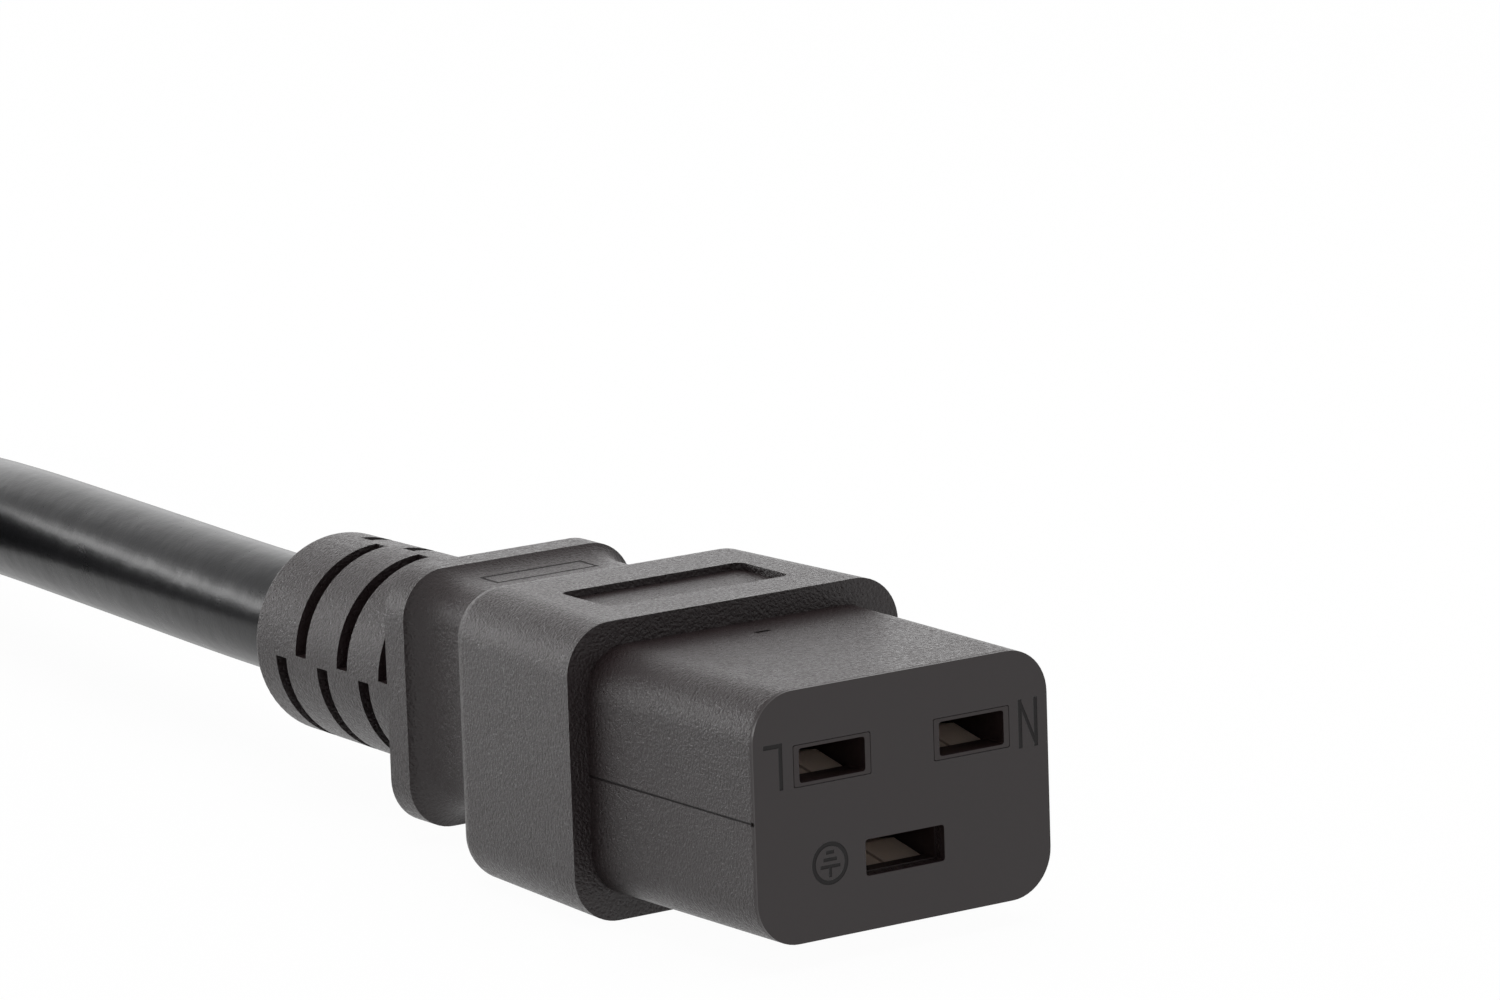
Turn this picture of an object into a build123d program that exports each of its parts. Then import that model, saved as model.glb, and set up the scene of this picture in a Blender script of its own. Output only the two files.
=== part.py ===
"""C19 power connector with its strain relief, three-core cord and plug.

Millimetres, +Z up. The mating face looks along -Y and the cord leaves along +Y.
Distances called "y" in the driving dimensions are measured rearwards from the mating face.
The origin is under the middle of the connector, on the surface that it rests on.
"""
import os
from math import cos, pi, radians, sin, tan

from build123d import *

os.makedirs("parts", exist_ok=True)

# Outer moulding
nose_width, nose_height, nose_corner = 27.4, 19.6, 3.7
nose_base_width, nose_base_height = 27.9, 19.8
nose_length = 22.1
block_width, block_height, block_corner = 31.3, 23.7, 4.0
block_rear_width = 28.7
block_length = 19.1
block_rear_rounding = 2.5
recess_width, recess_length, recess_depth = 17.2, 7.05, 0.6
recess_y, recess_corner = 30.15, 0.8
neck_width, neck_height, neck_corner = 18.4, 18.8, 3.0
neck_rise = 0.5
neck_length = 11.9
flare_length = 3.4
flare_angles, flare_end = (0, 20, 40, 60, 78), 78
flange_width, flange_height, flange_corner = 22.1, 21.35, 4.0
flange_rim = 2.85
boot_length = 25.05
boot_front_diameter, boot_rear_diameter = 17.5, 16.9
boot_rounding = 0.5

# Slits of the strain relief
slit_width = 1.65
slit_pitch = 6.56
slits_per_quadrant = 3
slit_first_high, slit_first_low = 60.35, 63.55
slit_web = 0.45
slit_floor_diameter = 12.0

# Contact positions and openings in the mating face
pole_spacing = 13.0
pole_rise, earth_drop = 3.92, 4.17
slot_width, slot_height, slot_corner = 6.07, 2.68, 0.25
earth_slot_width = 7.19
tower_width, tower_height, tower_corner = 7.05, 3.2, 0.15
tower_gap = 0.05
earth_window_width, earth_window_height = 7.35, 2.85
earth_tower_width, earth_tower_height = 9.0, 4.2
earth_tower_setback = 1.2

# Contact carrier and its cover
face_wall = 2.5
carrier_width, carrier_height, carrier_corner = 22.0, 14.9, 1.0
carrier_drop = 0.12
carrier_rear_y = 22.0
cover_thickness = 2.0
cavity_height = 4.4
cavity_side_gap = 0.25
tail_slot_gap = 0.1

# Spring contacts
contact_width, earth_contact_width = 6.1, 7.1
strip = 0.45
leaf_front_y, leaf_front_half = 2.9, 1.5
leaf_pinch_y, leaf_pinch_half = 6.5, 0.75
leaf_seat_y = 12.0
finger_gap, finger_gap_end_y = 0.3, 12.5
fold_y = 19.0
tail_width, tail_thickness = 3.0, 0.8
barrel_diameter, barrel_length = 4.4, 7.0
barrel_setback = 0.5
barrel_floor = 1.0

# Cord
cord_diameter = 10.3
core_diameter, strand_diameter = 3.9, 2.3
core_circle = 2.31
strip_gap = 0.5
jacket_start_y = 52.5
core_bend_y, core_meet_y = 36.5, 47.0

# Put-away coil and its tie
coil_x, coil_y = -40.0, 213.0
coil_mean_radius = 52.0
coil_corner = 4.9
lead_joins, tail_leaves = -12.9, 187.0
lead_sway = ((0.0, 86.0, 0.0), (2.2, 119.5, 0.0), (4.6, 151.5, -0.2))
stub_length, tail_run, tail_fall = 36.0, 19.0, 0.071
tie_width, tie_thickness = 16.0, 0.8
tie_squeeze = 0.5

# Plug
plug_x, plug_face_y = -90.0, 79.0
plug_axis_z = 9.5
plug_width, plug_flat_height, plug_corner = 27.0, 15.0, 3.5
plug_lobe_diameter = 16.4
plug_block_length = 22.5
waist_width, waist_height, waist_length = 21.0, 18.0, 6.5
plug_rear_width, plug_rear_length, plug_rear_corner = 25.0, 15.0, 5.0
plug_boss_diameter, plug_boss_length = 15.0, 5.0
blade_spacing = 12.7
blade_z, ground_offset = 6.2, 11.9
blade_width, blade_thickness, blade_length = 6.35, 1.5, 17.8
blade_hole_diameter, blade_hole_from_face = 3.96, 11.8
blade_tip_chamfer = 0.5
pin_diameter, pin_extra = 4.8, 3.0
pin_shank_diameter, pin_shank_step = 4.3, 0.4
plug_rounding = 1.0
collar_border, ground_collar_diameter = 1.0, 7.6
collar_length = 2.0
bridge_arm = 7.0
bridge_border = 0.6
bridge_length = 11.0
plug_barrel_length = 5.0
plug_jacket_depth = 10.0
plug_core_meet, plug_core_lead = 4.0, 2.5
plug_straight = 7.5

# Worked out from the driving dimensions
boot_end_y = nose_length + block_length + neck_length + flange_rim + boot_length
face_y = -boot_end_y / 2
axis_z = block_height / 2
block_rear_y = nose_length + block_length
flange_y = block_rear_y + neck_length
boot_y = flange_y + flange_rim
cover_rear_y = carrier_rear_y + cover_thickness
barrel_y = cover_rear_y + barrel_setback
core_start_y = barrel_y + barrel_length + strip_gap
cord_radius = cord_diameter / 2
earth_pole = (0.0, -earth_drop)
line_pole = (-pole_spacing / 2, pole_rise)
neutral_pole = (pole_spacing / 2, pole_rise)
bundle = 2 * cord_diameter
outer_turn = coil_mean_radius + cord_radius
plug_rear_y = plug_face_y + plug_block_length + waist_length + plug_rear_length + plug_boss_length


def across(y, x=0.0, z=axis_z):
    """Plane across the connector at y behind the mating face; it looks forwards, so extrudes go forwards."""
    return Plane(origin=(x, face_y + y, z), x_dir=(1, 0, 0), z_dir=(0, -1, 0))


def seen_from_face(x, y, z):
    """Point given from the mating face's y, with z above the resting surface."""
    return Vector(x, face_y + y, z)


def corner_radii(route):
    """Radius of the arc at each corner: as large as the shorter of its two runs allows."""
    radii = []
    for before, corner, after in zip(route, route[1:], route[2:]):
        run_in = corner - before
        run_out = after - corner
        half_turn = radians(run_in.get_angle(run_out)) / 2
        radii.append(0.45 * min(run_in.length, run_out.length) / tan(half_turn))
    return radii


def tube_report(name, part, radii, section):
    """Print a tube's radii and its length worked out from its volume."""
    print(name, "radii", [round(r, 1) for r in radii], "length from volume", round(part.volume / section, 1))


def save(part, name):
    """Label a finished part and write it to its STEP file."""
    part.label = name
    export_step(part, f"parts/{name}.step")


def core_place(angle):
    """Place of one core about the cord's axis."""
    return core_circle * cos(radians(angle)), core_circle * sin(radians(angle))


# Core routes inside the connector, from the crimp to the jacket
poles = {
    "line": (line_pole, core_place(150), contact_width, slot_width),
    "neutral": (neutral_pole, core_place(30), contact_width, slot_width),
    "earth": (earth_pole, core_place(270), earth_contact_width, earth_slot_width),
}


def inner_route(start_y, pole, seat):
    """Points that a core follows from start_y behind its contact to the start of the jacket."""
    return [
        seen_from_face(pole[0], start_y, axis_z + pole[1]),
        seen_from_face(pole[0], core_bend_y, axis_z + pole[1]),
        seen_from_face(seat[0], core_meet_y, axis_z + seat[1]),
        seen_from_face(seat[0], jacket_start_y, axis_z + seat[1]),
    ]


# Cord routes outside
coil_centre = seen_from_face(coil_x, coil_y, 0)
bottom_turn_z = cord_radius
top_turn_z = bottom_turn_z + cord_diameter


def on_coil(angle, radius, z):
    """Point on a turn of the coil."""
    return coil_centre + Vector(radius * cos(radians(angle)), radius * sin(radians(angle)), z)


lead_join = on_coil(lead_joins, outer_turn, bottom_turn_z)
lead_route = [
    seen_from_face(0, jacket_start_y, axis_z),
    *[seen_from_face(x, y, axis_z + rise) for x, y, rise in lead_sway],
]
lead_descent = (lead_join - lead_route[-1]).normalized()
lead_route.append(lead_join - lead_descent * stub_length)
lead_radii = corner_radii(lead_route)

tail_leave = on_coil(tail_leaves, outer_turn, top_turn_z)
tail_heading = Vector(-sin(radians(tail_leaves)), cos(radians(tail_leaves)), -tail_fall).normalized()
tail_start = tail_leave + tail_heading * stub_length
tail_bend = tail_start + tail_heading * tail_run
tail_route = [
    tail_start,
    tail_bend,
    seen_from_face(plug_x, plug_rear_y + plug_straight, plug_axis_z),
    seen_from_face(plug_x, plug_rear_y - plug_jacket_depth, plug_axis_z),
]

# Outer moulding in one piece: nose, shoulder block, neck, flange and strain relief
with BuildPart() as overmould:
    with BuildSketch(Plane.XY):
        with BuildLine():
            Polyline(
                (-block_width / 2, face_y + nose_length),
                (block_width / 2, face_y + nose_length),
                (block_rear_width / 2, face_y + block_rear_y),
                (-block_rear_width / 2, face_y + block_rear_y),
                close=True,
            )
        make_face()
    extrude(amount=block_height)
    long_edges = overmould.edges().filter_by(lambda e: abs((e @ 1 - e @ 0).Y) > block_length / 2)
    fillet(long_edges, block_corner)
    fillet(overmould.faces().sort_by(Axis.Y)[-1].edges(), block_rear_rounding)
    with BuildSketch(Plane.XY.offset(block_height)):
        with Locations((0, face_y + recess_y)):
            RectangleRounded(recess_width, recess_length, recess_corner)
    extrude(amount=-recess_depth, mode=Mode.SUBTRACT)
    with BuildSketch(across(0)):
        RectangleRounded(nose_width, nose_height, nose_corner)
    with BuildSketch(across(nose_length + 0.01)):
        RectangleRounded(nose_base_width, nose_base_height, nose_corner)
    loft()
    with BuildSketch(across(flange_y - flare_length)):
        with Locations((0, neck_rise)):
            RectangleRounded(neck_width, neck_height, neck_corner)
    extrude(amount=neck_length - flare_length + block_rear_rounding + 1)
    # The neck sweeps out to the flange's edge along part of an ellipse
    for angle in flare_angles:
        grown = (1 - cos(radians(angle))) / (1 - cos(radians(flare_end)))
        ahead = flare_length * (1 - sin(radians(angle)) / sin(radians(flare_end)))
        with BuildSketch(across(flange_y - ahead)):
            with Locations((0, neck_rise * (1 - grown))):
                RectangleRounded(
                    neck_width + (flange_width - neck_width) * grown,
                    neck_height + (flange_height - neck_height) * grown,
                    neck_corner + (flange_corner - neck_corner) * grown,
                )
    loft()
    with BuildSketch(across(boot_y)):
        RectangleRounded(flange_width, flange_height, flange_corner)
    extrude(amount=flange_rim)
    with BuildSketch(across(boot_y)):
        Circle(boot_front_diameter / 2)
    with BuildSketch(across(boot_end_y)):
        Circle(boot_rear_diameter / 2)
    loft()
    fillet(overmould.faces().sort_by(Axis.Y)[-1].edges(), boot_rounding)
    # Slits, staggered by half a pitch from quadrant to quadrant
    quadrants = (
        (-1, 1, slit_first_high),
        (1, 1, slit_first_low),
        (-1, -1, slit_first_low),
        (1, -1, slit_first_high),
    )
    reach = boot_front_diameter
    for side, level, first in quadrants:
        for number in range(slits_per_quadrant):
            with BuildSketch(across(first + number * slit_pitch + slit_width / 2)):
                with Locations((side * (reach + slit_web) / 2, level * (reach + slit_web) / 2)):
                    Rectangle(reach, reach)
                Circle(slit_floor_diameter / 2, mode=Mode.SUBTRACT)
            extrude(amount=slit_width, mode=Mode.SUBTRACT)
    # Pocket of the contact carrier, with its openings in the mating face
    with BuildSketch(across(cover_rear_y)):
        with Locations((0, -carrier_drop)):
            RectangleRounded(carrier_width, carrier_height, carrier_corner)
    extrude(amount=cover_rear_y - face_wall, mode=Mode.SUBTRACT)
    with BuildSketch(across(face_wall)):
        with Locations(line_pole, neutral_pole):
            RectangleRounded(tower_width + 2 * tower_gap, tower_height + 2 * tower_gap, tower_corner)
        with Locations(earth_pole):
            RectangleRounded(earth_window_width, earth_window_height, slot_corner)
    extrude(amount=face_wall, mode=Mode.SUBTRACT)
    with BuildSketch(across(face_wall)):
        with Locations(earth_pole):
            RectangleRounded(earth_tower_width, earth_tower_height, tower_corner)
    extrude(amount=face_wall - earth_tower_setback, mode=Mode.SUBTRACT)
    # Room for the crimps, the cores and the jacket
    with BuildSketch(across(core_start_y)):
        with Locations(line_pole, neutral_pole, earth_pole):
            Circle(barrel_diameter / 2)
    extrude(amount=core_start_y - cover_rear_y, mode=Mode.SUBTRACT)
    for pole, seat, leaf_width, opening in poles.values():
        route = inner_route(core_start_y, pole, seat)
        with BuildLine() as channel:
            FilletPolyline(*route, radius=corner_radii(route))
        with BuildSketch(Plane(origin=channel.line @ 0, z_dir=channel.line % 0)):
            Circle(core_diameter / 2)
        sweep(path=channel.line, mode=Mode.SUBTRACT)
    with BuildLine() as jacket_channel:
        FilletPolyline(*lead_route[:3], radius=lead_radii[:1])
    with BuildSketch(Plane(origin=jacket_channel.line @ 0, z_dir=jacket_channel.line % 0)):
        Circle(cord_radius)
    sweep(path=jacket_channel.line, mode=Mode.SUBTRACT)
save(overmould.part, "connector_overmould")

# Contact carrier: an insulating block with three towers that reach the mating face
with BuildPart() as carrier:
    with BuildSketch(across(carrier_rear_y)):
        with Locations((0, -carrier_drop)):
            RectangleRounded(carrier_width, carrier_height, carrier_corner)
    extrude(amount=carrier_rear_y - face_wall)
    with BuildSketch(across(face_wall)):
        with Locations(line_pole, neutral_pole):
            RectangleRounded(tower_width, tower_height, tower_corner)
    extrude(amount=face_wall)
    with BuildSketch(across(face_wall)):
        with Locations(earth_pole):
            RectangleRounded(earth_tower_width, earth_tower_height, tower_corner)
    extrude(amount=face_wall - earth_tower_setback)
    for pole, seat, leaf_width, opening in poles.values():
        with BuildSketch(across(face_wall)):
            with Locations(pole):
                RectangleRounded(opening, slot_height, slot_corner)
        extrude(amount=face_wall, mode=Mode.SUBTRACT)
        with BuildSketch(across(carrier_rear_y)):
            with Locations(pole):
                Rectangle(leaf_width + 2 * cavity_side_gap, cavity_height)
        extrude(amount=carrier_rear_y - face_wall, mode=Mode.SUBTRACT)
save(carrier.part, "contact_carrier")

# Cover behind the carrier, with a slot for each contact's tail
with BuildPart() as cover:
    with BuildSketch(across(cover_rear_y)):
        with Locations((0, -carrier_drop)):
            RectangleRounded(carrier_width, carrier_height, carrier_corner)
        with Locations(line_pole, neutral_pole, earth_pole):
            Rectangle(tail_width + 2 * tail_slot_gap, tail_thickness + 2 * tail_slot_gap, mode=Mode.SUBTRACT)
    extrude(amount=cover_thickness)
save(cover.part, "carrier_cover")

# Spring contacts: a folded strip with two split leaves, a tail and a crimp barrel
seat_half = cavity_height / 2
for name, (pole, seat, leaf_width, opening) in poles.items():
    centre_z = axis_z + pole[1]
    with BuildPart() as contact:
        leaf_corner = (pole[0] - leaf_width / 2, face_y, centre_z)
        leaf_plane = Plane(origin=leaf_corner, x_dir=(0, 1, 0), z_dir=(1, 0, 0))
        for side in (1, -1):
            with BuildSketch(leaf_plane):
                with BuildLine():
                    Polyline(
                        (leaf_front_y, side * leaf_front_half),
                        (leaf_pinch_y, side * leaf_pinch_half),
                        (leaf_seat_y, side * (seat_half - strip)),
                        (fold_y, side * (seat_half - strip)),
                        (fold_y, side * seat_half),
                        (leaf_seat_y - 0.1, side * seat_half),
                        (leaf_pinch_y, side * (leaf_pinch_half + strip)),
                        (leaf_front_y, side * (leaf_front_half + strip)),
                        close=True,
                    )
                make_face()
            extrude(amount=leaf_width)
        with BuildSketch(across(fold_y + strip, pole[0], centre_z)):
            Rectangle(leaf_width, cavity_height)
        extrude(amount=strip)
        with BuildSketch(across(finger_gap_end_y, pole[0], centre_z)):
            Rectangle(finger_gap, cavity_height)
        extrude(amount=finger_gap_end_y, mode=Mode.SUBTRACT)
        with BuildSketch(across(barrel_y + barrel_floor, pole[0], centre_z)):
            Rectangle(tail_width, tail_thickness)
        extrude(amount=barrel_y + barrel_floor - fold_y - strip / 2)
        with BuildSketch(across(barrel_y + barrel_length, pole[0], centre_z)):
            Circle(barrel_diameter / 2)
        extrude(amount=barrel_length)
        with BuildSketch(across(barrel_y + barrel_length, pole[0], centre_z)):
            Circle(strand_diameter / 2)
        extrude(amount=barrel_length - barrel_floor, mode=Mode.SUBTRACT)
    save(contact.part, f"contact_{name}")

    # Stranded conductor, from its crimp to the jacket
    core_route = inner_route(core_start_y, pole, seat)
    bends = corner_radii(core_route)
    strand_route = inner_route(barrel_y + barrel_floor, pole, seat)
    with BuildPart() as conductor:
        with BuildLine() as strand_line:
            FilletPolyline(*strand_route, radius=bends)
        with BuildSketch(Plane(origin=strand_line.line @ 0, z_dir=strand_line.line % 0)):
            Circle(strand_diameter / 2)
        sweep(path=strand_line.line)
    save(conductor.part, f"conductor_{name}")

    # Insulation of the same core
    with BuildPart() as core:
        with BuildLine() as core_line:
            FilletPolyline(*core_route, radius=bends)
        with BuildSketch(Plane(origin=core_line.line @ 0, z_dir=core_line.line % 0)):
            Circle(core_diameter / 2)
            Circle(strand_diameter / 2, mode=Mode.SUBTRACT)
        sweep(path=core_line.line)
    save(core.part, f"core_{name}")

# Cord between the connector and the coil
with BuildPart() as cord_lead:
    with BuildLine() as lead_line:
        FilletPolyline(*lead_route, radius=lead_radii)
    with BuildSketch(Plane(origin=lead_line.line @ 0, z_dir=lead_line.line % 0)):
        Circle(cord_radius)
    sweep(path=lead_line.line)
save(cord_lead.part, "cord_lead")
tube_report("cord_lead", cord_lead.part, lead_radii, pi * cord_radius**2)

# Tie round the coil, at its back
tie_centre = on_coil(90, coil_mean_radius, bundle / 2)
tie_plane = Plane(origin=tie_centre, x_dir=(0, 1, 0), z_dir=(1, 0, 0))
with BuildPart() as coil_tie:
    with BuildSketch(tie_plane):
        with Locations((0, tie_thickness / 2)):
            RectangleRounded(bundle + 2 * (tie_thickness - tie_squeeze), bundle + tie_thickness, coil_corner)
            RectangleRounded(
                bundle - 2 * tie_squeeze,
                bundle - tie_thickness,
                coil_corner - tie_thickness,
                mode=Mode.SUBTRACT,
            )
    extrude(amount=tie_width / 2, both=True)
save(coil_tie.part, "coil_tie")

# Outer shape of the coil, with the two short ends where the cord joins and leaves it
with BuildPart() as cord_coil:
    with BuildSketch(Plane(origin=coil_centre, x_dir=(1, 0, 0), z_dir=(0, -1, 0))):
        with Locations((coil_mean_radius, bundle / 2)):
            RectangleRounded(bundle, bundle, coil_corner)
    revolve(axis=Axis(coil_centre, (0, 0, 1)))
    with BuildSketch(Plane(origin=lead_route[-1], z_dir=lead_descent)):
        Circle(cord_radius)
    extrude(amount=stub_length)
    with BuildSketch(Plane(origin=tail_start, z_dir=-tail_heading)):
        Circle(cord_radius)
    extrude(amount=stub_length)
    with BuildSketch(tie_plane):
        with Locations((0, tie_thickness / 2)):
            RectangleRounded(3 * bundle, 3 * bundle, coil_corner)
            RectangleRounded(
                bundle - 2 * tie_squeeze,
                bundle - tie_thickness,
                coil_corner - tie_thickness,
                mode=Mode.SUBTRACT,
            )
    extrude(amount=tie_width / 2, both=True, mode=Mode.SUBTRACT)
save(cord_coil.part, "cord_coil")

# Cord between the coil and the plug
tail_radii = corner_radii(tail_route)
with BuildPart() as cord_tail:
    with BuildLine() as tail_line:
        FilletPolyline(*tail_route, radius=tail_radii)
    with BuildSketch(Plane(origin=tail_line.line @ 0, z_dir=tail_line.line % 0)):
        Circle(cord_radius)
    sweep(path=tail_line.line)
save(cord_tail.part, "cord_tail")
tube_report("cord_tail", cord_tail.part, tail_radii, pi * cord_radius**2)

# Plug: it lies on its flat side, so its ground pin is uppermost
ground_z = blade_z + ground_offset
bridge_rear_y = plug_face_y + bridge_length
plug_barrel_y = bridge_rear_y
plug_core_y = plug_barrel_y + plug_barrel_length + strip_gap
plug_jacket_y = plug_rear_y - plug_jacket_depth
plug_poles = {
    "line": ((blade_spacing / 2, blade_z), core_place(330)),
    "neutral": ((-blade_spacing / 2, blade_z), core_place(210)),
    "ground": ((0.0, ground_z), core_place(90)),
}


def plug_across(y):
    """Plane across the plug at y behind the connector's mating face, on the resting surface."""
    return across(y, plug_x, 0)


def plug_route(start_y, place, seat):
    """Points that a core follows inside the plug, from its blade to the start of the jacket."""
    return [
        seen_from_face(plug_x + place[0], start_y, place[1]),
        seen_from_face(plug_x + place[0], plug_core_y + plug_core_lead, place[1]),
        seen_from_face(plug_x + seat[0], plug_jacket_y - plug_core_meet, plug_axis_z + seat[1]),
        seen_from_face(plug_x + seat[0], plug_jacket_y, plug_axis_z + seat[1]),
    ]


# Outlines that the plug's moulding and its white bridge share
with BuildSketch() as collar_outline:
    for name, (place, seat) in plug_poles.items():
        with Locations(place):
            if name == "line":
                Rectangle(blade_thickness + 2 * collar_border, blade_width + 2 * collar_border)
            elif name == "neutral":
                Rectangle(blade_width + 2 * collar_border, blade_thickness + 2 * collar_border)
            else:
                Circle(ground_collar_diameter / 2)
with BuildSketch() as bridge_outline:
    for place, seat in plug_poles.values():
        with Locations(place):
            Circle(ground_collar_diameter / 2 + bridge_border)
    with Locations((0, blade_z)):
        Rectangle(blade_spacing, bridge_arm)
    with Locations((0, (blade_z + ground_z) / 2)):
        Rectangle(bridge_arm, ground_offset)

# Moulding of the plug
with BuildPart() as plug_body:
    with BuildSketch(plug_across(plug_face_y + plug_block_length)):
        with Locations((0, plug_flat_height / 2)):
            RectangleRounded(plug_width, plug_flat_height, plug_corner)
        with Locations((0, ground_z)):
            Circle(plug_lobe_diameter / 2)
        with Locations((0, ground_z / 2 + 1)):
            Rectangle(plug_lobe_diameter, ground_z - 2)
    extrude(amount=plug_block_length)
    fillet(plug_body.faces().sort_by(Axis.Y)[0].edges(), plug_rounding)
    fillet(plug_body.faces().sort_by(Axis.Y)[-1].edges(), plug_rounding)
    waist_rear_y = plug_face_y + plug_block_length + waist_length
    with BuildSketch(plug_across(waist_rear_y)):
        with Locations((0, plug_axis_z)):
            RectangleRounded(waist_width, waist_height, plug_corner)
    extrude(amount=waist_length)
    with BuildSketch(plug_across(waist_rear_y + plug_rear_length)):
        with Locations((0, plug_axis_z)):
            RectangleRounded(plug_rear_width, 2 * plug_axis_z, plug_rear_corner)
    extrude(amount=plug_rear_length)
    with BuildSketch(plug_across(plug_rear_y)):
        with Locations((0, plug_axis_z)):
            Circle(plug_boss_diameter / 2)
    extrude(amount=plug_boss_length)
    with BuildSketch(plug_across(plug_face_y + collar_length)):
        add(collar_outline.sketch)
    extrude(amount=collar_length, mode=Mode.SUBTRACT)
    with BuildSketch(plug_across(bridge_rear_y)):
        add(bridge_outline.sketch)
    extrude(amount=bridge_length - collar_length, mode=Mode.SUBTRACT)
    with BuildSketch(plug_across(plug_core_y)):
        for place, seat in plug_poles.values():
            with Locations(place):
                Circle(barrel_diameter / 2)
    extrude(amount=plug_core_y - bridge_rear_y, mode=Mode.SUBTRACT)
    for place, seat in plug_poles.values():
        route = plug_route(plug_core_y, place, seat)
        with BuildLine() as channel:
            FilletPolyline(*route, radius=corner_radii(route))
        with BuildSketch(Plane(origin=channel.line @ 0, z_dir=channel.line % 0)):
            Circle(core_diameter / 2)
        sweep(path=channel.line, mode=Mode.SUBTRACT)
    with BuildSketch(plug_across(plug_rear_y)):
        with Locations((0, plug_axis_z)):
            Circle(cord_radius)
    extrude(amount=plug_jacket_depth, mode=Mode.SUBTRACT)
save(plug_body.part, "plug_body")

# White bridge that holds the blades, with a collar round each at the plug's face
with BuildPart() as plug_bridge:
    with BuildSketch(plug_across(bridge_rear_y)):
        add(bridge_outline.sketch)
    extrude(amount=bridge_length - collar_length)
    with BuildSketch(plug_across(plug_face_y + collar_length)):
        add(collar_outline.sketch)
    extrude(amount=collar_length)
    with BuildSketch(plug_across(bridge_rear_y)):
        with Locations(plug_poles["line"][0]):
            Rectangle(blade_thickness, blade_width)
        with Locations(plug_poles["neutral"][0]):
            Rectangle(blade_width, blade_thickness)
        with Locations(plug_poles["ground"][0]):
            Circle(pin_shank_diameter / 2)
    extrude(amount=bridge_length, mode=Mode.SUBTRACT)
save(plug_bridge.part, "plug_bridge")

# Flat blades, with a hole near the tip and a crimp barrel behind the bridge
for name in ("line", "neutral"):
    place, seat = plug_poles[name]
    upright = name == "line"
    across_size = (blade_thickness, blade_width) if upright else (blade_width, blade_thickness)
    with BuildPart() as blade:
        with BuildSketch(plug_across(plug_barrel_y)):
            with Locations(place):
                Rectangle(*across_size)
        extrude(amount=plug_barrel_y - plug_face_y + blade_length)
        chamfer(blade.faces().sort_by(Axis.Y)[0].edges(), blade_tip_chamfer)
        hole_x = 1 if upright else 0
        hole_centre = seen_from_face(plug_x + place[0], plug_face_y - blade_hole_from_face, place[1])
        with BuildSketch(Plane(origin=hole_centre, z_dir=(hole_x, 0, 1 - hole_x))):
            Circle(blade_hole_diameter / 2)
        extrude(amount=blade_thickness, both=True, mode=Mode.SUBTRACT)
        with BuildSketch(plug_across(plug_barrel_y + plug_barrel_length)):
            with Locations(place):
                Circle(barrel_diameter / 2)
        extrude(amount=plug_barrel_length)
        with BuildSketch(plug_across(plug_barrel_y + plug_barrel_length)):
            with Locations(place):
                Circle(strand_diameter / 2)
        extrude(amount=plug_barrel_length - barrel_floor, mode=Mode.SUBTRACT)
    save(blade.part, f"plug_blade_{name}")

# Round ground pin, longer than the blades
ground_place, ground_seat = plug_poles["ground"]
with BuildPart() as ground_pin:
    with BuildSketch(plug_across(plug_face_y - pin_shank_step)):
        with Locations(ground_place):
            Circle(pin_diameter / 2)
    extrude(amount=blade_length + pin_extra - pin_shank_step)
    fillet(ground_pin.faces().sort_by(Axis.Y)[0].edges(), pin_diameter / 2 - 0.4)
    with BuildSketch(plug_across(plug_barrel_y)):
        with Locations(ground_place):
            Circle(pin_shank_diameter / 2)
    extrude(amount=plug_barrel_y - plug_face_y + pin_shank_step)
    with BuildSketch(plug_across(plug_barrel_y + plug_barrel_length)):
        with Locations(ground_place):
            Circle(barrel_diameter / 2)
    extrude(amount=plug_barrel_length)
    with BuildSketch(plug_across(plug_barrel_y + plug_barrel_length)):
        with Locations(ground_place):
            Circle(strand_diameter / 2)
    extrude(amount=plug_barrel_length - barrel_floor, mode=Mode.SUBTRACT)
save(ground_pin.part, "plug_ground_pin")

# Cores inside the plug, each with its stranded conductor
for name, (place, seat) in plug_poles.items():
    core_route = plug_route(plug_core_y, place, seat)
    bends = corner_radii(core_route)
    strand_route = plug_route(plug_barrel_y + barrel_floor, place, seat)
    with BuildPart() as conductor:
        with BuildLine() as strand_line:
            FilletPolyline(*strand_route, radius=bends)
        with BuildSketch(Plane(origin=strand_line.line @ 0, z_dir=strand_line.line % 0)):
            Circle(strand_diameter / 2)
        sweep(path=strand_line.line)
    save(conductor.part, f"plug_conductor_{name}")
    with BuildPart() as core:
        with BuildLine() as core_line:
            FilletPolyline(*core_route, radius=bends)
        with BuildSketch(Plane(origin=core_line.line @ 0, z_dir=core_line.line % 0)):
            Circle(core_diameter / 2)
            Circle(strand_diameter / 2, mode=Mode.SUBTRACT)
        sweep(path=core_line.line)
    save(core.part, f"plug_core_{name}")
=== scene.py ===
"""Looks of the C19 power connector, its cord and its plug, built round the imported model."""

from math import cos, hypot, pi, radians, sin

import bpy
from mathutils import Matrix, Vector


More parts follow.
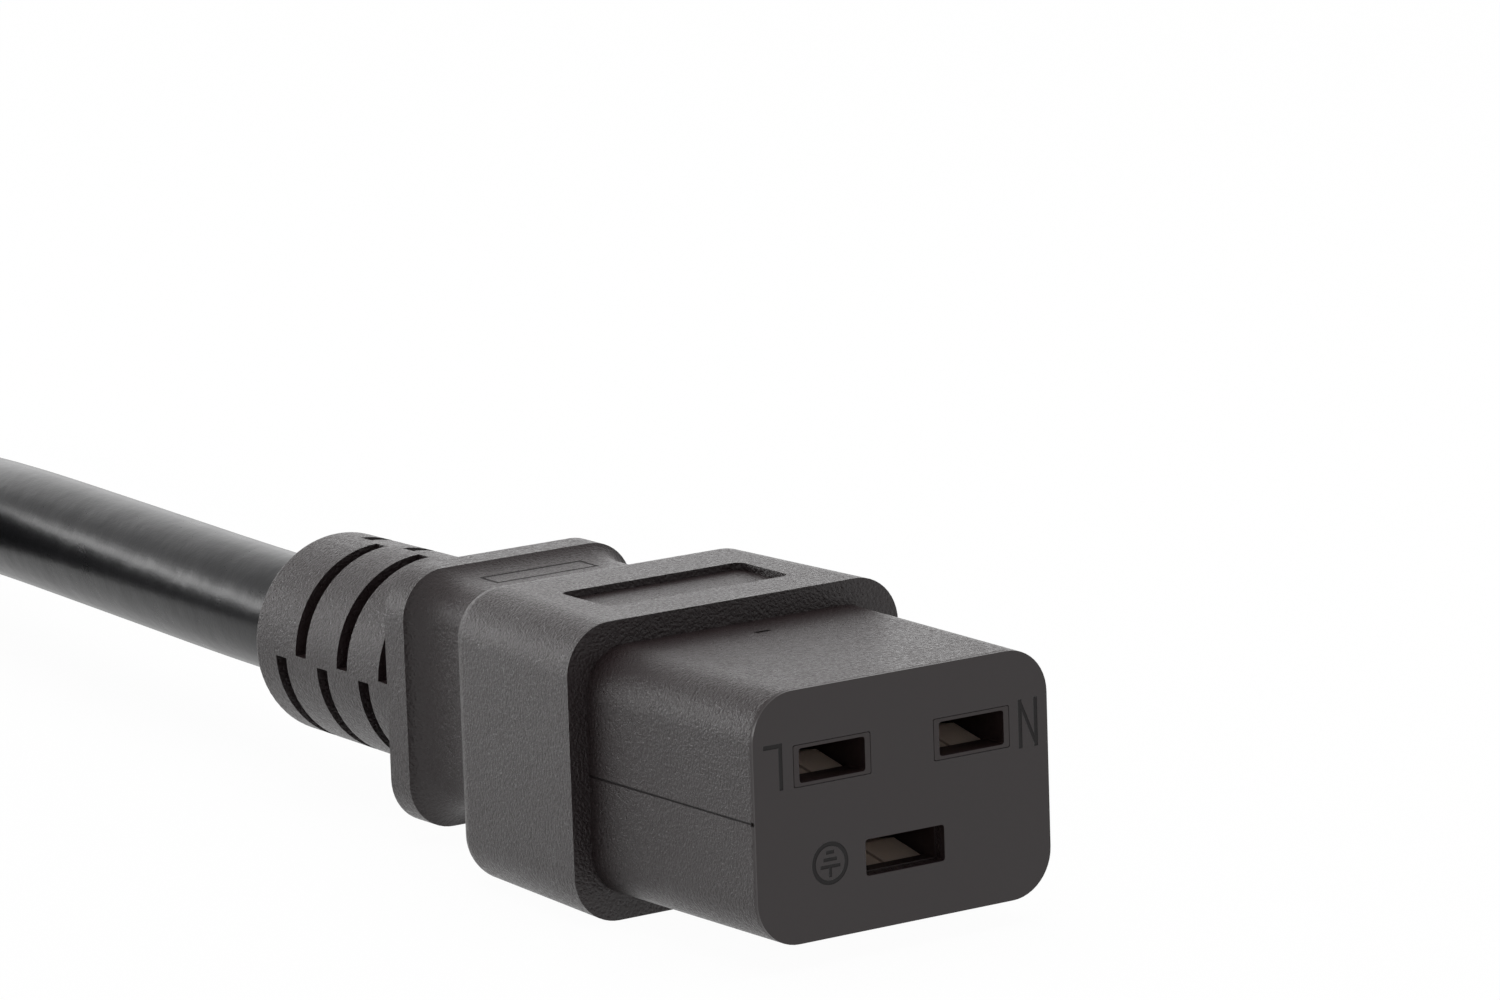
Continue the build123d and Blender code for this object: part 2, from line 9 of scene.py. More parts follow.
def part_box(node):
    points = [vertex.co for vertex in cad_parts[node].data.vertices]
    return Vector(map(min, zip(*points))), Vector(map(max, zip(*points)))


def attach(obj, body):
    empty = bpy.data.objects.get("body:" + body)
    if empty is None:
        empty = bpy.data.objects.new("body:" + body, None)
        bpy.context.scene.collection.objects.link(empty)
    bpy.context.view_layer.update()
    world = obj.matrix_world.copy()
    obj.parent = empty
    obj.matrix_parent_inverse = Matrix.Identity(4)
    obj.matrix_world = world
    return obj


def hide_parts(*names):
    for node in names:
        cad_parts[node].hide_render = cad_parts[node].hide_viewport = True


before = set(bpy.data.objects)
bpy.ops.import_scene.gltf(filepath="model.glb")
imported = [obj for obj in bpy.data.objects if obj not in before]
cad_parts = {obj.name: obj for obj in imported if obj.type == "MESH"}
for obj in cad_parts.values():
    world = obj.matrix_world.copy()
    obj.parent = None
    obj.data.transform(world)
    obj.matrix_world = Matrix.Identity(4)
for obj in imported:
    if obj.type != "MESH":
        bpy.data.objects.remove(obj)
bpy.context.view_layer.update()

bl_info = {
    "name": "Moulded power connector",
    "version": (1, 0, 0),
    "blender": (4, 5, 0),
    "location": "View3D > Sidebar > Connector",
    "description": "Finishes, marks, cord and stage of a moulded C19 power connector",
    "category": "Object",
}

# Places that the frame gives
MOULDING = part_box("connector_overmould")
FACE_Y = MOULDING[0][1]
BLOCK_TOP_Z = MOULDING[1][2]
AXIS_Z = BLOCK_TOP_Z / 2
CORD_NODES = ("cord_lead", "cord_coil", "cord_tail")


def behind_face(x, y, z):
    """Point given from the middle of the mating face: x to the right, y rearwards, z up."""
    return Vector((x, FACE_Y + y, AXIS_Z + z))


class Wire:
    """A number, colour or vector on its way between shader nodes, which can be used in sums."""

    def __init__(self, recipe, socket):
        self.recipe = recipe
        self.socket = socket

    def _math(self, operation, first, second=None):
        values = {0: first} if second is None else {0: first, 1: second}
        return self.recipe.node("ShaderNodeMath", {"operation": operation}, values)

    def __add__(self, other):
        return self._math("ADD", self, other)

    def __radd__(self, other):
        return self._math("ADD", other, self)

    def __sub__(self, other):
        return self._math("SUBTRACT", self, other)

    def __rsub__(self, other):
        return self._math("SUBTRACT", other, self)

    def __mul__(self, other):
        return self._math("MULTIPLY", self, other)

    def __abs__(self):
        return self._math("ABSOLUTE", self)

    def __lt__(self, other):
        return self._math("LESS_THAN", self, other)

    def __gt__(self, other):
        return self._math("GREATER_THAN", self, other)

    def low(self, other):
        """The smaller of this and the other."""
        return self._math("MINIMUM", self, other)

    def high(self, other):
        """The larger of this and the other."""
        return self._math("MAXIMUM", self, other)

    def sine(self):
        """Sine of this."""
        return self._math("SINE", self)

    def root(self):
        """Square root of this."""
        return self._math("SQRT", self)

    def ramp(self, start, end, low=0.0, high=1.0):
        """Smooth step from low at start to high at end."""
        return self.recipe.node(
            "ShaderNodeMapRange",
            {"interpolation_type": "SMOOTHSTEP"},
            {"Value": self, "From Min": start, "From Max": end, "To Min": low, "To Max": high},
        )


class Recipe:
    """A material under construction, with the nodes that make its finish."""

    def __init__(self, name):
        self.material = bpy.data.materials.new(name)
        self.material.use_nodes = True
        self.tree = self.material.node_tree
        self.tree.nodes.clear()
        self.surface = self.tree.nodes.new("ShaderNodeBsdfPrincipled")
        self.output = self.tree.nodes.new("ShaderNodeOutputMaterial")
        self.tree.links.new(self.surface.outputs[0], self.output.inputs["Surface"])

    def plug_in(self, socket, value):
        """Link a wire to a socket, or set the socket to a plain value."""
        if isinstance(value, Wire):
            self.tree.links.new(value.socket, socket)
        else:
            socket.default_value = value

    def node(self, kind, settings=None, values=None, output=0):
        """Add one node: its settings first, then the values or links of its sockets."""
        node = self.tree.nodes.new(kind)
        for name, value in (settings or {}).items():
            setattr(node, name, value)
        for name, value in (values or {}).items():
            self.plug_in(node.inputs[name], value)
        return Wire(self, node.outputs[output])

    def place(self):
        """Position on the object, in metres."""
        return self.node("ShaderNodeTexCoord", output="Object")

    def axes(self, vector):
        """The three numbers of a vector."""
        split = self.tree.nodes.new("ShaderNodeSeparateXYZ")
        self.plug_in(split.inputs[0], vector)
        return [Wire(self, socket) for socket in split.outputs]

    def noise(self, vector, size, detail=2.0, roughness=0.5):
        """Noise from 0 to 1 with features about one size across, in metres."""
        values = {"Vector": vector, "Scale": 1.0 / size, "Detail": detail, "Roughness": roughness}
        return self.node("ShaderNodeTexNoise", None, values)

    def drawn(self, vector, stretch, size):
        """Noise drawn out along y, as lines of drawn or rolled metal; a smaller stretch is longer."""
        values = {0: vector, 1: (1.0, stretch, 1.0)}
        stretched = self.node("ShaderNodeVectorMath", {"operation": "MULTIPLY"}, values)
        return self.noise(stretched, size, detail=2.0)

    def blend(self, share, first, second):
        """Colour between two colours."""
        mix = self.tree.nodes.new("ShaderNodeMix")
        mix.data_type = "RGBA"
        self.plug_in(mix.inputs[0], share)
        self.plug_in(mix.inputs[6], first)
        self.plug_in(mix.inputs[7], second)
        return Wire(self, mix.outputs[2])

    def relief(self, height, distance):
        """Normal of a surface with this relief; a height of 1 stands that distance out."""
        values = {"Height": height, "Distance": distance, "Strength": 1.0}
        return self.node("ShaderNodeBump", None, values)

    def paint_shade(self, share):
        """Mix in a painted black shade that mirrors nothing, by the share of a cut that is in shade."""
        shade = self.node("ShaderNodeBsdfDiffuse", None, {"Color": (0.002, 0.001, 0.001, 1.0)})
        plain = Wire(self, self.surface.outputs[0])
        mixed = self.node("ShaderNodeMixShader", None, {0: share, 1: plain, 2: shade})
        self.tree.links.new(mixed.socket, self.output.inputs["Surface"])

    def finish(self, **values):
        """Set or link the surface's sockets, with underscores for the spaces in their names."""
        for name, value in values.items():
            self.plug_in(self.surface.inputs[name.replace("_", " ")], value)
        return self.material


def colour(value, share=1.0):
    """Colour with an alpha of 1, made darker or lighter by a share."""
    return (value[0] * share, value[1] * share, value[2] * share, 1.0)


def tone_setting(name, description, default):
    """A colour that can be set in the panel."""
    return bpy.props.FloatVectorProperty(
        name=name,
        description=description,
        subtype="COLOR",
        size=3,
        min=0.0,
        max=1.0,
        default=default,
    )


class ConnectorColours(bpy.types.PropertyGroup):
    """Colours of the connector, its cord and its plug."""

    moulding: tone_setting("Moulding", "Colour of the soft moulding", (0.013, 0.0075, 0.008))
    jacket: tone_setting("Jacket", "Colour of the cord's jacket", (0.008, 0.008, 0.009))
    carrier: tone_setting("Carrier", "Colour of the insert round the contacts", (0.011, 0.005, 0.005))
    contacts: tone_setting("Contacts", "Colour of the plated spring contacts", (0.66, 0.56, 0.49))
    blades: tone_setting("Blades", "Colour of the plug's plated blades", (0.66, 0.63, 0.58))
    bridge: tone_setting("Bridge", "Colour of the white nylon round the blades", (0.82, 0.82, 0.79))


class ConnectorSizes(bpy.types.PropertyGroup):
    """Sizes of the finishes and of the cord."""

    grain: bpy.props.FloatProperty(
        name="Grain",
        description="Size of the sparked texture's grains",
        subtype="DISTANCE",
        unit="LENGTH",
        default=0.00026,
        precision=5,
    )
    grain_depth: bpy.props.FloatProperty(
        name="Grain depth",
        description="Depth of the sparked texture",
        subtype="DISTANCE",
        unit="LENGTH",
        default=0.00013,
        precision=6,
    )
    cord_diameter: bpy.props.FloatProperty(
        name="Cord diameter",
        description="Outer diameter of the cord's jacket",
        subtype="DISTANCE",
        unit="LENGTH",
        default=0.0103,
        precision=4,
    )
    cord_length: bpy.props.FloatProperty(
        name="Cord length",
        description="Length of cord between the strain relief and the plug",
        subtype="DISTANCE",
        unit="LENGTH",
        default=1.36,
    )


def colours():
    """The scene's colours."""
    return bpy.context.scene.connector_colours


def sizes():
    """The scene's sizes."""
    return bpy.context.scene.connector_sizes


# Finishes

# Millimetres in a metre, for the marks, lines and dents, which are all given in millimetres
MM = 1000.0
# How far outside its outline a cut fades in: the thin lines, the dents, the plug's hole and the pin's slit
LINE_EDGE, DENT_EDGE, HOLE_EDGE, SLIT_EDGE = (-0.04, 0.05), (-0.08, 0.08), (-0.1, 0.1), (-0.06, 0.06)
# Distances behind a mating face over which the sparked texture begins
TEXTURE_START = (0.1, 0.6)


def cut_in(distance, edge):
    """Share from 0 outside a shape to 1 inside it, by the distance outside it."""
    return distance.ramp(*edge, 1.0, 0.0)


def bar(across, along, middle, size):
    """Distance outside an upright rectangle, in millimetres; less than 0 inside it."""
    return (abs(across - middle[0]) - size[0] / 2).high(abs(along - middle[1]) - size[1] / 2)


def stroke(across, along, start, end, width):
    """Distance outside a slanting stroke, in millimetres; less than 0 inside it."""
    run = (end[0] - start[0], end[1] - start[1])
    length = hypot(*run)
    middle = ((start[0] + end[0]) / 2, (start[1] + end[1]) / 2)
    ahead = (across - middle[0]) * (run[0] / length) + (along - middle[1]) * (run[1] / length)
    aside = (across - middle[0]) * (-run[1] / length) + (along - middle[1]) * (run[0] / length)
    return (abs(ahead) - length / 2).high(abs(aside) - width / 2)


# Marks of the mating face in millimetres from its middle: x to the right, z up
MARK_STROKE = 0.3
LINE_MARK = ((-12.76, -11.08), (2.32, 5.9))
NEUTRAL_MARK = ((10.95, 12.72), (2.03, 5.82))
EARTH_MARK = (-6.99, -4.0)
EARTH_MARK_RADIUS = 1.5
EARTH_BARS = ((0.85, 0.7), (0.3, 1.2), (-0.25, 1.8))
EARTH_STEM = (-0.68, 0.75)


def face_marks(across, along):
    """Distance outside the nearest engraved stroke of the mating face."""
    (left, right), (low, high) = LINE_MARK
    half = MARK_STROKE / 2
    stem = bar(across, along, (right - half, (low + high) / 2), (MARK_STROKE, high - low))
    foot = bar(across, along, ((left + right) / 2, high - half), (right - left, MARK_STROKE))
    nearest = stem.low(foot)
    (left, right), (low, high) = NEUTRAL_MARK
    for side in (left + half, right - half):
        nearest = nearest.low(bar(across, along, (side, (low + high) / 2), (MARK_STROKE, high - low)))
    slant = stroke(across, along, (left + half, high - half), (right - half, low + half), MARK_STROKE * 0.8)
    nearest = nearest.low(slant)
    east, north = across - EARTH_MARK[0], along - EARTH_MARK[1]
    ring = abs((east * east + north * north).root() - EARTH_MARK_RADIUS) - MARK_STROKE / 2
    nearest = nearest.low(ring)
    for rise, length in EARTH_BARS:
        nearest = nearest.low(bar(east, north, (0.0, rise), (length, MARK_STROKE * 0.75)))
    return nearest.low(bar(east, north, (0.0, EARTH_STEM[0]), (MARK_STROKE * 0.75, EARTH_STEM[1])))


# Lines and dents of the moulding, in millimetres behind the mating face and from its middle
NOSE_END, NOSE_SIDE, NICK_SIDE = 22.1, -13.0, -13.5
PARTING_WIDTH = 0.12
NICK = ((0.35, 0.0), (0.35, 0.3))
DENT = ((0.1, 18.4), (1.3, 0.45))
NECK_FRAME = ((-0.25, 49.4), (9.5, 2.4))
FRAME_EDGE = (0.08, 0.2)
NECK_TOP = 9.0
# The marks lie within this depth of the face, and the parting line starts this far behind it
FACE_SKIN, PARTING_START = 0.15, 0.1
# Depth of every cut, in metres
CUT_DEPTH = 0.00015


def pvc(recipe, place, textured, cuts, shade):
    """Soft PVC: a sparked texture where textured is 1, cut in where cuts is 1 with their colour darkened as
    painted shade, and painted black as shade by the shade share.
    """
    grain = recipe.noise(place, sizes().grain, detail=3.0, roughness=0.6)
    cloud = recipe.noise(place, 0.006, detail=3.0)
    tint = recipe.blend(cloud, colour(colours().moulding, 0.9), colour(colours().moulding, 1.12))
    # Painted shade in the cuts: a black mixed in by the shade share
    recipe.paint_shade(shade)
    depth = sizes().grain_depth / CUT_DEPTH
    return recipe.finish(
        # Painted shade: the cuts' colour goes to near black in place of the shadow in them
        Base_Color=recipe.blend(cuts * 0.8, tint, (0.001, 0.001, 0.001, 1.0)),
        Roughness=0.34 + textured * (grain - 0.5) * 0.7 + cloud * 0.08 + cuts * 0.3,
        Normal=recipe.relief(grain * textured * depth - cuts, CUT_DEPTH),
    )


def moulding_finish():
    """The connector's moulding: a smooth mating face with engraved marks, and its lines and dents, with
    painted shade in all of them.
    """
    recipe = Recipe("moulding_pvc")
    place = recipe.place()
    x, y, z = recipe.axes(place)
    across, behind, along = x * MM, (y - FACE_Y) * MM, (z - AXIS_Z) * MM
    textured = behind.ramp(*TEXTURE_START)
    marks = cut_in(face_marks(across, along), LINE_EDGE) * (behind < FACE_SKIN)
    on_nose_side = (across < NOSE_SIDE) * (behind < NOSE_END) * (behind > PARTING_START)
    parting = cut_in(abs(along) - PARTING_WIDTH / 2, LINE_EDGE) * on_nose_side
    nick = cut_in(bar(behind, along, *NICK), DENT_EDGE) * (across < NICK_SIDE)
    dent = cut_in(bar(across, behind, *DENT), DENT_EDGE) * (along > 0.0)
    frame_edge = cut_in(abs(bar(across, behind, *NECK_FRAME)), FRAME_EDGE)
    neck_frame = frame_edge * (along > NECK_TOP)
    cuts = marks.high(parting * 0.7).high(nick).high(dent).high(neck_frame * 0.6)
    # Painted shade: how much black each cut gets in place of its shadow
    shade = (marks * 0.25).high(parting * 0.55).high(nick * 0.9).high(dent * 0.85).high(neck_frame * 0.5)
    return pvc(recipe, place, textured, cuts, shade)


# The plug in millimetres: its middle, its axis, and its face's place behind the mating face
PLUG_X, PLUG_AXIS_Z, PLUG_FACE_Y = -90.0, 9.5, 79.0
PIN_Z, PIN_TIP_Y = 18.1, 58.2
SLIT_LENGTH, SLIT_WIDTH = 3.6, 0.5
UNDER_DENTS, UNDER_DENT_SIZE = ((-2.4, 113.0), (2.4, 113.0)), (1.2, 0.7)
BOSS_HOLE = ((125.5, 0.0), (1.0, 1.0))
# From its middle: where the parting line and the hole begin to the side, and the dents' height
PARTING_FROM, HOLE_SIDE, UNDERSIDE = 7.0, 5.0, -8.5


def plug_finish():
    """The plug's moulding, with its parting line, its small hole and the dents underneath, each with
    painted shade in it.
    """
    recipe = Recipe("plug_pvc")
    place = recipe.place()
    x, y, z = recipe.axes(place)
    across, behind, rise = x * MM - PLUG_X, (y - FACE_Y) * MM, z * MM - PLUG_AXIS_Z
    textured = (behind - PLUG_FACE_Y).ramp(*TEXTURE_START)
    parting = cut_in(abs(rise) - PARTING_WIDTH / 2, LINE_EDGE) * (abs(across) > PARTING_FROM) * textured
    dents = cut_in(bar(behind, rise, *BOSS_HOLE), HOLE_EDGE) * (across > HOLE_SIDE)
    for dent in UNDER_DENTS:
        spot = cut_in(bar(across, behind, dent, UNDER_DENT_SIZE), DENT_EDGE)
        dents = dents.high(spot * (rise < UNDERSIDE))
    # Painted shade in the parting line, the hole and the dents
    return pvc(recipe, place, textured, (parting * 0.7).high(dents), (parting * 0.5).high(dents * 0.85))


def pin_finish(tone):
    """Drawn tube of the ground pin: bright plating with the slit in its closed tip, the slit painted black
    as shade.
    """
    recipe = Recipe("pin_plating")
    place = recipe.place()
    _, y, z = recipe.axes(place)
    behind, rise = (y - FACE_Y) * MM, z * MM - PIN_Z
    slit = cut_in(abs(rise) - SLIT_WIDTH / 2, SLIT_EDGE) * (behind < PIN_TIP_Y + SLIT_LENGTH)
    lines = recipe.drawn(place, 0.06, 0.0002)
    # Painted shade: the slit is painted black in place of its shadow
    recipe.paint_shade(slit * 0.9)
    return recipe.finish(
        Base_Color=recipe.blend(lines, colour(tone, 0.85), colour(tone, 1.1)),
        Metallic=1.0,
        Roughness=0.2 + lines * 0.12,
        Normal=recipe.relief(lines * 0.1 - slit, CUT_DEPTH),
    )


def jacket_finish():
    """Smooth satin PVC of the cord, with faint ripples from its making."""
    recipe = Recipe("cord_jacket_pvc")
    place = recipe.place()
    ripple = recipe.noise(place, 0.004, detail=2.0)
    speck = recipe.noise(place, 0.0003, detail=1.0)
    return recipe.finish(
        Base_Color=recipe.blend(ripple, colour(colours().jacket, 0.9), colour(colours().jacket, 1.15)),
        Roughness=0.24 + ripple * 0.06 + speck * 0.04,
        Specular_IOR_Level=0.22,
        Normal=recipe.relief(ripple + speck * 0.1, 0.00008),
    )


def carrier_finish():
    """Smooth dark nylon of the insert."""
    recipe = Recipe("carrier_nylon")
    speck = recipe.noise(recipe.place(), 0.0005, detail=2.0)
    return recipe.finish(
        Base_Color=colour(colours().carrier),
        Roughness=0.4 + speck * 0.15,
        Normal=recipe.relief(speck, 0.00001),
    )


def metal_finish(name, tone, roughness, grain, bright=1.0):
    """Plated sheet metal with faint rolling lines along the strip; a dull plating is less bright."""
    recipe = Recipe(name)
    place = recipe.place()
    lines = recipe.drawn(place, 0.08, grain)
    patch = recipe.noise(place, 0.003, detail=3.0)
    return recipe.finish(
        Base_Color=recipe.blend(patch, colour(tone, 0.8), colour(tone, 1.15)),
        Metallic=bright - patch * 0.1,
        Roughness=roughness + lines * 0.12 + patch * 0.08,
        Normal=recipe.relief(lines, 0.00001),
    )


def nylon_finish(name, tone):
    """Plain moulded nylon or core insulation."""
    recipe = Recipe(name)
    speck = recipe.noise(recipe.place(), 0.0006, detail=2.0)
    return recipe.finish(
        Base_Color=recipe.blend(speck, colour(tone, 0.96), colour(tone, 1.02)),
        Roughness=0.38 + speck * 0.1,
        Normal=recipe.relief(speck, 0.00001),
    )


def strand_finish():
    """Bare copper strands, twisted along the conductor."""
    recipe = Recipe("copper_strands")
    x, y, z = recipe.axes(recipe.place())
    twist = (((x + z) * 4000.0) + (y * 900.0)).sine()
    return recipe.finish(
        Base_Color=(0.78, 0.38, 0.22, 1.0),
        Metallic=1.0,
        Roughness=0.32 + twist * 0.04,
        Normal=recipe.relief(twist * 0.5 + 0.5, 0.00015),
    )


def strap_finish():
    """Woven hook-and-loop strap."""
    recipe = Recipe("strap_weave")
    x, y, z = recipe.axes(recipe.place())
    weave = (x * 5200.0).sine() * ((y + z) * 5200.0).sine()
    fuzz = recipe.noise(recipe.place(), 0.0003, detail=3.0)
    return recipe.finish(
        Base_Color=recipe.blend(fuzz, (0.012, 0.012, 0.014, 1.0), (0.035, 0.035, 0.04, 1.0)),
        Roughness=0.85,
        Normal=recipe.relief(weave * 0.5 + fuzz, 0.00012),
    )


def dress(name, material):
    """Give a node of the frame its finish."""
    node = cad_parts[name]
    node.data.materials.clear()
    node.data.materials.append(material)


def new_piece(name, mesh, material):
    """Add a piece of the connector that rides with the rest of it."""
    piece = bpy.data.objects.new(name, mesh)
    bpy.context.collection.objects.link(piece)
    mesh.materials.append(material)
    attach(piece, "root")
    return piece


# Cord

# Points of the cord's route before the coil, from the mating face and the resting surface
LEAD_ROUTE = (
    (0.0, 0.0525, 0.01185),
    (0.0, 0.086, 0.01185),
    (0.0022, 0.1195, 0.01185),
    (0.0046, 0.1515, 0.01165),
)
# Points of the route after the coil, to the end of the jacket in the plug
TAIL_ROUTE = (
    (-0.09235, 0.17039, 0.0129),
    (-0.09004, 0.15158, 0.01155),
    (-0.09, 0.1355, 0.0095),
    (-0.09, 0.118, 0.0095),
)
COIL_CENTRE = (-0.04, 0.213)
COIL_MEAN_RADIUS = 0.052
COIL_START, COIL_END = -12.9, 1267.0
POINTS_PER_TURN = 24
# Angles at which the cord moves to the inner turn, up to the upper layer, and back to the outer turn
MOVE_IN, MOVE_UP, MOVE_OUT = 310.0, 640.0, 970.0
MOVE_SPAN = 100.0


def eased(angle, middle):
    """Share of a move that is done at an angle, from 0 to 1, smooth at both ends."""
    share = min(max((angle - middle) / MOVE_SPAN + 0.5, 0.0), 1.0)
    return 0.5 - 0.5 * cos(pi * share)


def coil_points(diameter):
    """Control points of the coil, in two layers of two turns: from the outside in, then back out."""
    steps = round((COIL_END - COIL_START) / 360 * POINTS_PER_TURN)
    points = []
    for step in range(steps + 1):
        angle = COIL_START + (COIL_END - COIL_START) * step / steps
        sideways = 0.5 - eased(angle, MOVE_IN) + eased(angle, MOVE_OUT)
        radius = (COIL_MEAN_RADIUS + diameter * sideways) / cos(pi / POINTS_PER_TURN)
        height = diameter * (0.5 + eased(angle, MOVE_UP))
        turn = radians(angle)
        points.append((COIL_CENTRE[0] + radius * cos(turn), COIL_CENTRE[1] + radius * sin(turn), height))
    return points


class CONNECTOR_OT_cord(bpy.types.Operator):
    """Add the cord with its put-away coil"""

    bl_idname = "connector.cord"
    bl_label = "Cord"

    def execute(self, context):
        diameter = sizes().cord_diameter
        route = list(LEAD_ROUTE) + coil_points(diameter) + list(TAIL_ROUTE)
        curve = bpy.data.curves.new("cord", "CURVE")
        curve.dimensions = "3D"
        curve.bevel_depth = diameter / 2
        curve.bevel_resolution = 10
        curve.resolution_u = 6
        curve.use_fill_caps = True
        spline = curve.splines.new("NURBS")
        spline.points.add(len(route) - 1)
        for point, (x, y, z) in zip(spline.points, route):
            point.co = (x, FACE_Y + y, z, 1.0)
        spline.order_u = 3
        spline.use_endpoint_u = True
        cord = new_piece("cord", curve, jacket_finish())
        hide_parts(*CORD_NODES)
        return {"FINISHED"}


class CONNECTOR_OT_moulding(bpy.types.Operator):
    """Finish the outer moulding"""

    bl_idname = "connector.moulding"
    bl_label = "Moulding"

    def execute(self, context):
        dress("connector_overmould", moulding_finish())
        return {"FINISHED"}


# Colours of the cores' insulation
CORE_BLACK, CORE_WHITE, CORE_GREEN = (0.03, 0.03, 0.03), (0.78, 0.78, 0.75), (0.06, 0.3, 0.1)


class CONNECTOR_OT_inside(bpy.types.Operator):
    """Finish the insert, the contacts and the cores"""

    bl_idname = "connector.inside"
    bl_label = "Insert, contacts and cores"

    def execute(self, context):
        nylon = carrier_finish()
        dress("contact_carrier", nylon)
        dress("carrier_cover", nylon)
        plated = metal_finish("contact_plating", colours().contacts, 0.42, 0.00025, bright=0.45)
        copper = strand_finish()
        cores = {
            "line": nylon_finish("core_black", CORE_BLACK),
            "neutral": nylon_finish("core_white", CORE_WHITE),
            "earth": nylon_finish("core_green", CORE_GREEN),
        }
        cores["ground"] = cores["earth"]
        for pole in ("line", "neutral", "earth"):
            dress(f"contact_{pole}", plated)
            dress(f"conductor_{pole}", copper)
            dress(f"core_{pole}", cores[pole])
        for pole in ("line", "neutral", "ground"):
            dress(f"plug_conductor_{pole}", copper)
            dress(f"plug_core_{pole}", cores[pole])
        return {"FINISHED"}


# The strap's loose end on top of the tie: its length along the strap, its thickness and its round end
STRAP_END_LENGTH, STRAP_END_THICKNESS, STRAP_END_TAPER = 0.017, 0.0009, 0.005


def strap_end_mesh():
    """The strap's loose end, which lies on the tie and has a rounded tip towards the coil's middle."""
    (left, front, low), (right, rear, high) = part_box("coil_tie")
    middle, half = (left + right) / 2, (right - left) / 2
    start = (front + rear) / 2 + STRAP_END_LENGTH / 2
    tip = start - STRAP_END_LENGTH
    outline = [(middle + half, start), (middle - half, start)]
    steps = 8
    for step in range(steps + 1):
        angle = pi * step / steps
        outline.append((middle - half * cos(angle), tip + STRAP_END_TAPER * (1 - sin(angle))))
    bottom = [(x, y, high - STRAP_END_THICKNESS * 0.3) for x, y in outline]
    top = [(x, y, high + STRAP_END_THICKNESS * 0.7) for x, y in outline]
    count = len(outline)
    walls = [(i, (i + 1) % count, count + (i + 1) % count, count + i) for i in range(count)]
    mesh = bpy.data.meshes.new("strap_end")
    ends = [tuple(reversed(range(count))), tuple(range(count, 2 * count))]
    mesh.from_pydata(bottom + top, [], walls + ends)
    mesh.validate()
    return mesh


class CONNECTOR_OT_plug(bpy.types.Operator):
    """Finish the plug at the cord's far end and the coil's tie"""

    bl_idname = "connector.plug"
    bl_label = "Plug and tie"

    def execute(self, context):
        dress("plug_body", plug_finish())
        dress("plug_bridge", nylon_finish("bridge_nylon", colours().bridge))
        plating = metal_finish("blade_plating", colours().blades, 0.22, 0.0002)
        dress("plug_blade_line", plating)
        dress("plug_blade_neutral", plating)
        dress("plug_ground_pin", pin_finish(colours().blades))
        weave = strap_finish()
        dress("coil_tie", weave)
        new_piece("strap_end", strap_end_mesh(), weave)
        return {"FINISHED"}


# Stage

# The camera, from the middle of the mating face: its place, its turn and its lens
CAMERA_AZIMUTH, CAMERA_ELEVATION, CAMERA_ROLL = -34.31, 11.23, -1.92
CAMERA_DISTANCE = 0.6
CAMERA_FOCAL = 7918.23
IMAGE_WIDTH = 1500.0
FACE_OFFSET = (153.79, -296.78)
SENSOR_WIDTH = 36.0


def add_camera():
    """Camera at the photograph's angle, distance and lens."""
    azimuth, elevation, roll = (radians(a) for a in (CAMERA_AZIMUTH, CAMERA_ELEVATION, CAMERA_ROLL))
    back = Vector((sin(azimuth) * cos(elevation), -cos(azimuth) * cos(elevation), sin(elevation)))
    level = Vector((cos(azimuth), sin(azimuth), 0.0))
    upright = back.cross(level)
    right = cos(roll) * level + sin(roll) * upright
    up = -sin(roll) * level + cos(roll) * upright
    aside = right * FACE_OFFSET[0] + up * FACE_OFFSET[1]
    eye = behind_face(0, 0, 0) + back * CAMERA_DISTANCE - aside * (CAMERA_DISTANCE / CAMERA_FOCAL)
    lens = bpy.data.cameras.new("camera")
    lens.sensor_width = SENSOR_WIDTH
    lens.lens = SENSOR_WIDTH * CAMERA_FOCAL / IMAGE_WIDTH
    lens.clip_start = 0.01
    camera = bpy.data.objects.new("camera", lens)
    bpy.context.collection.objects.link(camera)
    turn = Matrix((right, up, back)).transposed().to_4x4()
    camera.matrix_world = Matrix.Translation(eye) @ turn
    bpy.context.scene.camera = camera


# Strength of the room's light low down and overhead, and the heights between which it changes
ROOM_LIGHT = (1.0, 0.25)
ROOM_FALL = (0.1, 0.5)
# The floor's half side, and the share of it that is seen as plain white; the rest keeps the shadow
FLOOR_HALF, FLOOR_GLOW = 3.0, 0.97
# What the lamps look at, then each lamp's place, width, height, power, and whether reflections show it
LAMP_TARGET = (0.0, 0.0, 0.012)
LAMPS = {
    "lamp_over": ((0.05, 0.05, 0.7), 0.8, 0.8, 5.0, False),
    "lamp_right": ((0.42, 0.68, 0.22), 0.9, 0.4, 1.0, True),
    "lamp_left": ((-0.45, 0.68, 0.12), 0.8, 0.2, 2.6, True),
}


def add_lamp(name, place, width, height, power, mirrored):
    """Soft rectangular lamp that looks at the connector; the camera doesn't see it."""
    data = bpy.data.lights.new(name, "AREA")
    data.shape = "RECTANGLE"
    data.size = width
    data.size_y = height
    data.energy = power
    lamp = bpy.data.objects.new(name, data)
    bpy.context.collection.objects.link(lamp)
    lamp.visible_camera = False
    lamp.visible_glossy = mirrored
    lamp.location = place
    lamp.rotation_euler = (Vector(LAMP_TARGET) - Vector(place)).to_track_quat("-Z", "Y").to_euler()


